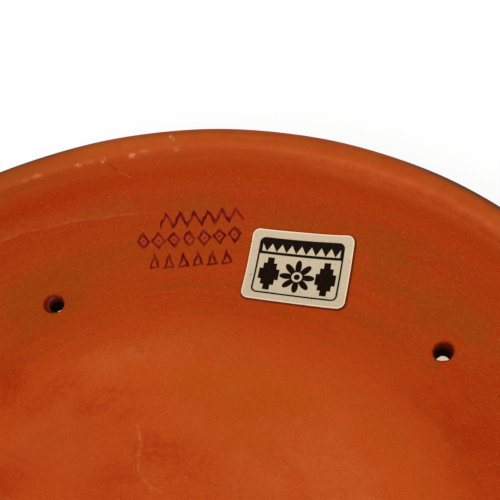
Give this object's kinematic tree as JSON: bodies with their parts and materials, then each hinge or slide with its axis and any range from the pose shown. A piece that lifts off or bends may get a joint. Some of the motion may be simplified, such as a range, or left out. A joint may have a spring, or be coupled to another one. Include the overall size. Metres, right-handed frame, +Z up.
{
  "type": "clay cazuela",
  "caption": "Wide, very shallow hand-made red clay cazuela with a rolled lip, a burnished slip inside, hanging holes through its belly and a small paper label.",
  "frame": {"origin": "centre of the flat base on which the dish stands", "axes": "+Z up out of the dish's mouth; the label and the two hanging holes are in the +Y half, the label towards +X of its middle"},
  "size_m": [0.28, 0.28, 0.036],
  "materials": {
    "red_clay": "fired low-temperature clay, smoothed by hand, matte",
    "lip_clay": "burnished red slip, lighter and more worn",
    "red_slip": "burnished red slip, satin, smoky around the bottom and darker up the wall",
    "label_paper": "coated cream paper with a black print"
  },
  "bodies": {
    "root": {"clay_body": "red_clay", "rim_coil": "lip_clay", "slip_coat": "red_slip", "paper_label": "label_paper"}
  },
  "joints": []
}
